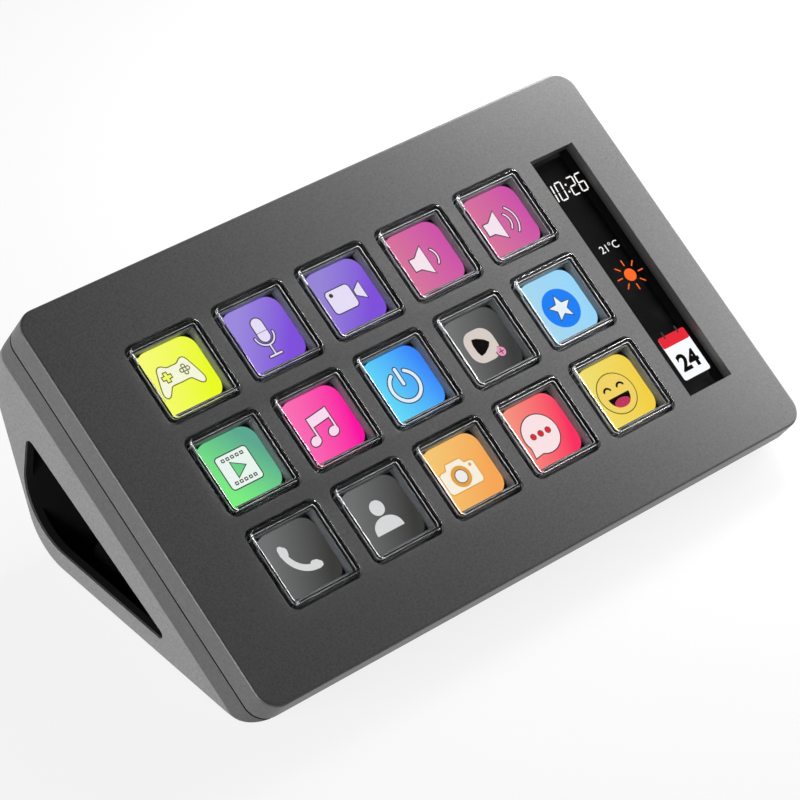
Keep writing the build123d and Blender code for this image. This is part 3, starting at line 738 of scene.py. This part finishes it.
# ================================================================ side display
SEGMENTS = {
    "a": ((0, 1), (1, 1)), "b": ((1, 1), (1, 0.5)), "c": ((1, 0.5), (1, 0)), "d": ((0, 0), (1, 0)),
    "e": ((0, 0.5), (0, 0)), "f": ((0, 1), (0, 0.5)), "g": ((0, 0.5), (1, 0.5)),
}
DIGITS = {"0": "abcdef", "1": "bc", "2": "abged", "6": "afedcg"}


def segment_digit(draw, digit, left, wide, high, stroke):
    """One seven-segment digit, its strokes a little apart and the whole leaning to the right."""
    for letter in DIGITS[digit]:
        (ax, ay), (bx, by) = SEGMENTS[letter]
        along = Vector((bx - ax, by - ay)).normalized() * stroke * SEGMENT_GAP
        ends = []
        for x, y, step in ((ax, ay, 1), (bx, by, -1)):
            px, py = left + x * wide + along.x * step, (y - 0.5) * high + along.y * step
            ends.append((px + DIGIT_LEAN * py, py))
        draw.fill(inks["white"], [bar(*ends, stroke)], 1)


def clock():
    draw = Drawing("display_clock", CLOCK_PLACE, window_top + PICTURE_LIFT)
    for digit, left in zip("1026", CLOCK_LEFTS):
        segment_digit(draw, digit, left, 1.45, 3.7, 0.3)
    for y in (0.75, -0.75):
        draw.fill(inks["white"], [disc(CLOCK_COLON + DIGIT_LEAN * y, y, 0.22)], 1)
    draw.finish()


def number(name, text, place, high, ink, weight, layer=1):
    """Plain digits of the built-in font, centred on a place; weight thickens the strokes."""
    letters = bpy.data.curves.new(name, "FONT")
    letters.body = text
    letters.size = high * TYPE_SCALE
    letters.offset = weight * high
    letters.align_x = "CENTER"
    letters.align_y = "CENTER"
    carrier = bpy.data.objects.new(name, letters)
    mesh = bpy.data.meshes.new_from_object(carrier)
    bpy.data.objects.remove(carrier)
    bpy.data.curves.remove(letters)
    mesh.transform(slab @ Matrix.Translation((*place, window_top + (1 + layer) * PICTURE_LIFT)))
    mesh.materials.clear()
    mesh.materials.append(ink)
    flat_piece(name, mesh)


def sun():
    draw = Drawing("display_sun", SUN_PLACE, window_top + PICTURE_LIFT)
    draw.fill(inks["orange"], [disc(0, 0, 1.3)], 1)
    inner, outer = 2.1, 3.2
    for i in range(8):
        c, s = cos(pi * i / 4), sin(pi * i / 4)
        draw.fill(inks["orange"], [bar((inner * c, inner * s), (outer * c, outer * s), 0.24)], 1)
    draw.finish()


def calendar():
    draw = Drawing("display_calendar", CALENDAR_PLACE, window_top + PICTURE_LIFT)
    wide, high, header = 6.8, 9.4, 2.3
    draw.fill(inks["paper"], [rounded(0, 0, wide, high, 0.5)], 1)
    top = high / 2 - header / 2
    draw.fill(inks["red"], [rounded(0, top, wide, header, 0.4)], 2)
    for x in (-1.7, 1.7):
        draw.fill(inks["line"], [bar((x, top + 0.7), (x, top + 1.9), 0.42)], 3)
    draw.finish()
    x, y = CALENDAR_PLACE
    number("display_date", "24", (x, y - 1.6), 3.4, inks["black"], 0.05, 2)


_, _, window_top = place_of("info_window")
clock()
number("display_temperature", "21°C", TEMPERATURE_PLACE, 1.6, inks["white"], 0)
sun()
calendar()


# ================================================================ spring rings
def spring_rings():
    """Silicone rings under the keys, copies of the CAD nodes in a rubber finish."""
    rubber = moulded("silicone", "#2A2A2C", 0.5, grain_size=0.4)
    for key in pictures:
        node = frame["nodes"]["key_spring_" + key]
        ring = bpy.data.objects.new("spring_ring_" + key, node.data.copy())
        ring.data.materials.clear()
        ring.data.materials.append(rubber)
        bpy.context.scene.collection.objects.link(ring)
        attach(ring, "housing")
        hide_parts(node.name)
        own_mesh(ring)


spring_rings()


# ================================================================ keycaps
def keycaps():
    """The clear caps with their edges broken; clear bodies cast no shadow, as light goes through."""
    plastic = clear_plastic("clear_plastic", "#FAFBFC", 1.0, 0.025)
    worn = clear_plastic("clear_edge", "#8A8C8E", 0.7, 0.5)
    for key in pictures:
        node = frame["nodes"]["keycap_" + key]
        form = bmesh.new()
        form.from_mesh(node.data)
        bmesh.ops.remove_doubles(form, verts=form.verts, dist=CAP_WELD * MM)
        bmesh.ops.dissolve_limit(form, angle_limit=CAP_FLAT, verts=form.verts, edges=form.edges)
        sharp = [edge for edge in form.edges if edge.calc_face_angle(0) > CAP_SHARP]
        broken = bmesh.ops.bevel(
            form, geom=sharp, offset=CAP_EDGE * MM, segments=2, profile=0.5,
            affect="EDGES", clamp_overlap=True,
        )
        for face in form.faces:
            face.smooth = False
        for face in broken["faces"]:
            face.material_index = 1
        mesh = bpy.data.meshes.new("clear_cap_" + key)
        form.to_mesh(mesh)
        form.free()
        mesh.materials.append(plastic)
        mesh.materials.append(worn)
        cap = bpy.data.objects.new("clear_cap_" + key, mesh)
        bpy.context.scene.collection.objects.link(cap)
        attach(cap, "key_" + key)
        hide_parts(node.name)
        cap.visible_shadow = False


keycaps()


# ================================================================ finishes of the carried-over nodes
black_plastic = moulded("black_plastic", "#1B1B1C", 0.5)
finishes = {
    "top_cover": moulded(
        "cover_plastic", "#4C4C4C", 0.42, grain_size=0.2, bump=0.012, specular=0.6, speckle=0.2
    ),
    # the lower case carries painted shade: a darker band above the crease, and a dark tunnel and
    # parting groove
    "lower_case": moulded(
        "case_plastic", "#7C7C7C", 0.48, grain_size=0.25, bump=0.015, specular=0.3, speckle=0.15,
        tint=case_painted_shade,
    ),
    "base_plate": moulded("plate_plastic", "#101010", 0.7, specular=0.2),
    "foot_front": moulded("foot_rubber", "#1E1E1E", 0.75, grain_size=0.5, bump=0.03),
    "info_window": screen_glass(),
    "key_frame": black_plastic,
    "light_shroud": moulded("shroud_plastic", "#5A5C5E", 0.35, grain_size=0.3),
    "switch_board": laminate(),
    "light_guide": moulded("milky_plastic", "#E8E8E4", 0.4),
    "display_tray": metal("sheet_steel", "#9A9C9E", 0.35),
    "board_chips": moulded("chip_plastic", "#18181A", 0.45, grain_size=0.1),
    "board_connectors": moulded("connector_plastic", "#CFC8B6", 0.5),
    "display_flex": moulded("flex_film", "#8A5212", 0.25, bump=0.003),
    "usb_socket": metal("plated_steel", "#B9BBBD", 0.25),
    "case_screws": metal("screw_steel", "#55565A", 0.35),
}
same_finish = {
    "foot_rear": "foot_front", "display_glass": "info_window", "clamp_plate": "display_tray",
    "main_board": "switch_board", "switch_flex": "display_flex", "usb_tongue": "key_frame",
    "clamp_screws": "case_screws", "board_screws": "case_screws", "base_screws": "case_screws",
}
for node, other in same_finish.items():
    finishes[node] = finishes[other]
for node, material in finishes.items():
    for material_slot in frame["nodes"][node].material_slots:
        material_slot.material = material


# ================================================================ studio
def background_rays(nodes, links):
    """1 for rays that show the background: to the camera, in a reflection or through clear plastic."""
    path = nodes.new("ShaderNodeLightPath")
    seen = path.outputs["Is Camera Ray"]
    for kind in ("Is Glossy Ray", "Is Transmission Ray"):
        seen = joined(nodes, links, "MAXIMUM", seen, path.outputs[kind])
    return seen


def studio_floor():
    """White floor that keeps a faint shadow."""
    material, nodes, links, shader = new_material("studio_floor")
    shader.inputs["Base Color"].default_value = (0.9, 0.9, 0.9, 1)
    shader.inputs["Roughness"].default_value = 0.9
    shader.inputs["Specular IOR Level"].default_value = 0.1
    glow = nodes.new("ShaderNodeEmission")
    mixed = nodes.new("ShaderNodeMixShader")
    weight = nodes.new("ShaderNodeMath")
    weight.operation = "MULTIPLY"
    weight.inputs[1].default_value = FLOOR_GLOW
    links.new(background_rays(nodes, links), weight.inputs[0])
    links.new(weight.outputs["Value"], mixed.inputs["Fac"])
    links.new(shader.outputs["BSDF"], mixed.inputs[1])
    links.new(glow.outputs["Emission"], mixed.inputs[2])
    links.new(mixed.outputs["Shader"], nodes["Material Output"].inputs["Surface"])
    bpy.ops.mesh.primitive_plane_add(size=FLOOR_SIZE, location=(0, 0, 0))
    floor = bpy.context.object
    floor.name = "studio_floor"
    floor.data.materials.append(material)


def studio_world():
    """White backdrop all round the object, a dim ceiling, and a little even light from the room."""
    world = bpy.data.worlds.new("studio")
    bpy.context.scene.world = world
    world.use_nodes = True
    nodes, links = world.node_tree.nodes, world.node_tree.links
    place = nodes.new("ShaderNodeTexCoord")
    parts = nodes.new("ShaderNodeSeparateXYZ")
    backdrop = nodes.new("ShaderNodeMapRange")
    backdrop.inputs["From Min"].default_value = CEILING_START
    backdrop.inputs["From Max"].default_value = CEILING_FULL
    backdrop.inputs["To Min"].default_value = 1.0
    backdrop.inputs["To Max"].default_value = 0.0
    links.new(place.outputs["Generated"], parts.inputs["Vector"])
    links.new(parts.outputs["Z"], backdrop.inputs["Value"])
    shown = joined(nodes, links, "MULTIPLY", background_rays(nodes, links), backdrop.outputs["Result"])
    path = nodes.new("ShaderNodeLightPath")
    white = joined(nodes, links, "MAXIMUM", shown, path.outputs["Is Camera Ray"])
    level = nodes.new("ShaderNodeMix")
    level.inputs["A"].default_value = WORLD_LEVEL
    level.inputs["B"].default_value = 1.0
    links.new(white, level.inputs["Factor"])
    links.new(level.outputs["Result"], nodes["Background"].inputs["Strength"])
    nodes["Background"].inputs["Color"].default_value = (1, 1, 1, 1)


def softbox(name, place, target, wide, high, power):
    """Area lamp that faces a target; places in millimetres in the slab frame."""
    lamp = bpy.data.lights.new(name, "AREA")
    lamp.shape = "RECTANGLE"
    lamp.size, lamp.size_y = wide * MM, high * MM
    lamp.energy = power
    carrier = bpy.data.objects.new(name, lamp)
    bpy.context.scene.collection.objects.link(carrier)
    start, end = slab @ Vector(place), slab @ Vector(target)
    carrier.location = start
    carrier.rotation_euler = (end - start).to_track_quat("-Z", "Y").to_euler()


def studio_camera():
    """Camera at the photograph's view, fitted to the photograph's straight edges."""
    camera = bpy.data.cameras.new("camera")
    camera.lens = LENS
    camera.sensor_width = SENSOR
    camera.sensor_fit = "HORIZONTAL"
    camera.clip_start = 0.01
    carrier = bpy.data.objects.new("camera", camera)
    bpy.context.scene.collection.objects.link(carrier)
    axes = [turn @ Vector(v) for v in (CAMERA_RIGHT, CAMERA_DOWN, CAMERA_AHEAD)]
    right, up, back = axes[0], -axes[1], -axes[2]
    aim = Matrix((right, up, back)).transposed().to_4x4()
    carrier.matrix_world = Matrix.Translation(slab @ Vector(CAMERA_PLACE)) @ aim
    bpy.context.scene.camera = carrier


studio_floor()
studio_world()
for lamp in LAMPS:
    softbox(*lamp)
studio_camera()
bpy.context.scene.view_settings.view_transform = "Standard"
